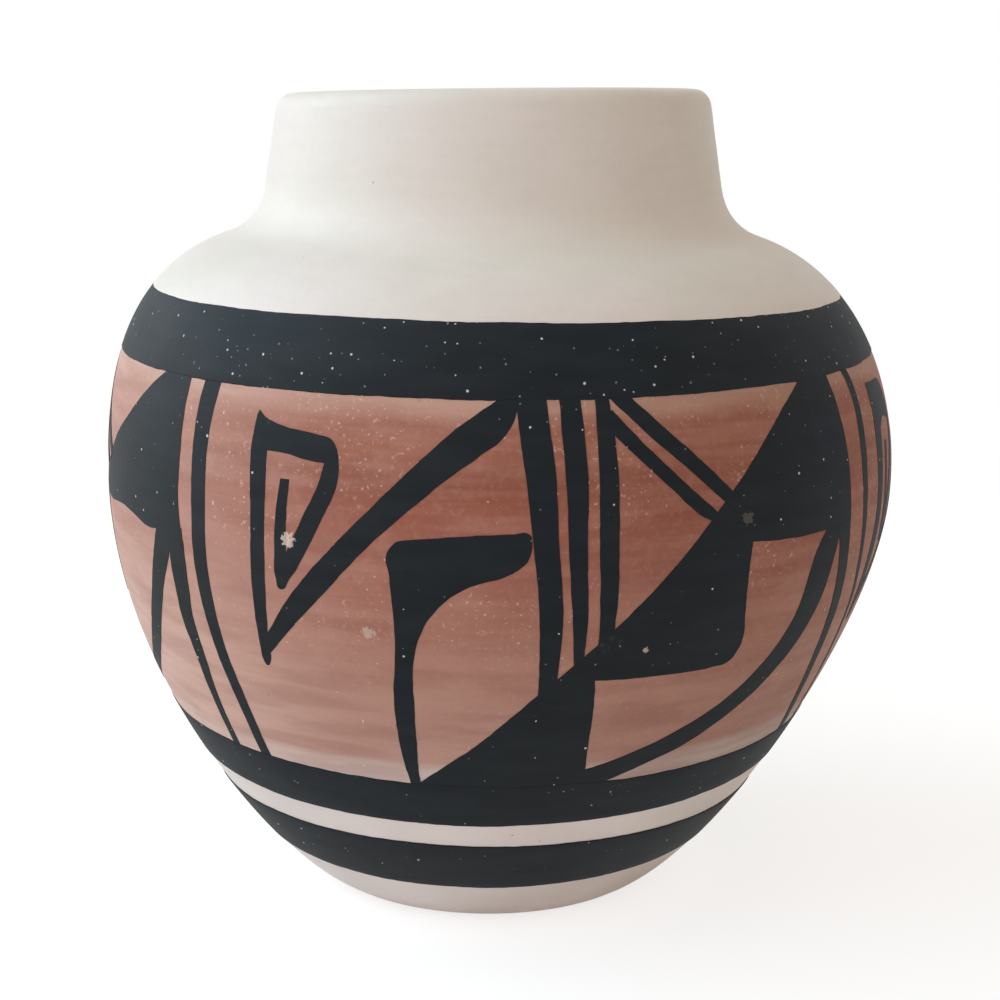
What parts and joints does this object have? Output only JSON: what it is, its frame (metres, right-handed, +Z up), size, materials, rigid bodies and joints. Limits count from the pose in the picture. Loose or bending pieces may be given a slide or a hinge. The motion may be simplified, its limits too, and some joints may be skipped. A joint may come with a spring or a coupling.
{
  "type": "bud vase",
  "caption": "Squat round painted pottery vase with a short wide neck, black slip bands and a terracotta frieze, hollow, on a small flat foot ring.",
  "frame": {"origin": "centre of the foot ring, on the surface the vase stands on", "axes": "+Z up along the axis the vase is turned about; -Y is towards the viewer of the reference picture, +X to their right"},
  "size_m": [0.0988, 0.0988, 0.1],
  "materials": {
    "clay": "unglazed fired cream clay, fine and slightly chalky",
    "black_slip": "matte blue-black slip, brushed on, with small pinholes",
    "terracotta_slip": "matte terracotta wash with horizontal brush streaks",
    "cream_glaze": "satin cream glaze"
  },
  "bodies": {
    "root": {"clay_body": "clay", "foot_band": "black_slip", "lower_band": "black_slip", "terracotta_wash": "terracotta_slip", "shoulder_band": "black_slip", "neck_glaze": "cream_glaze", "inner_glaze": "cream_glaze"}
  },
  "joints": []
}
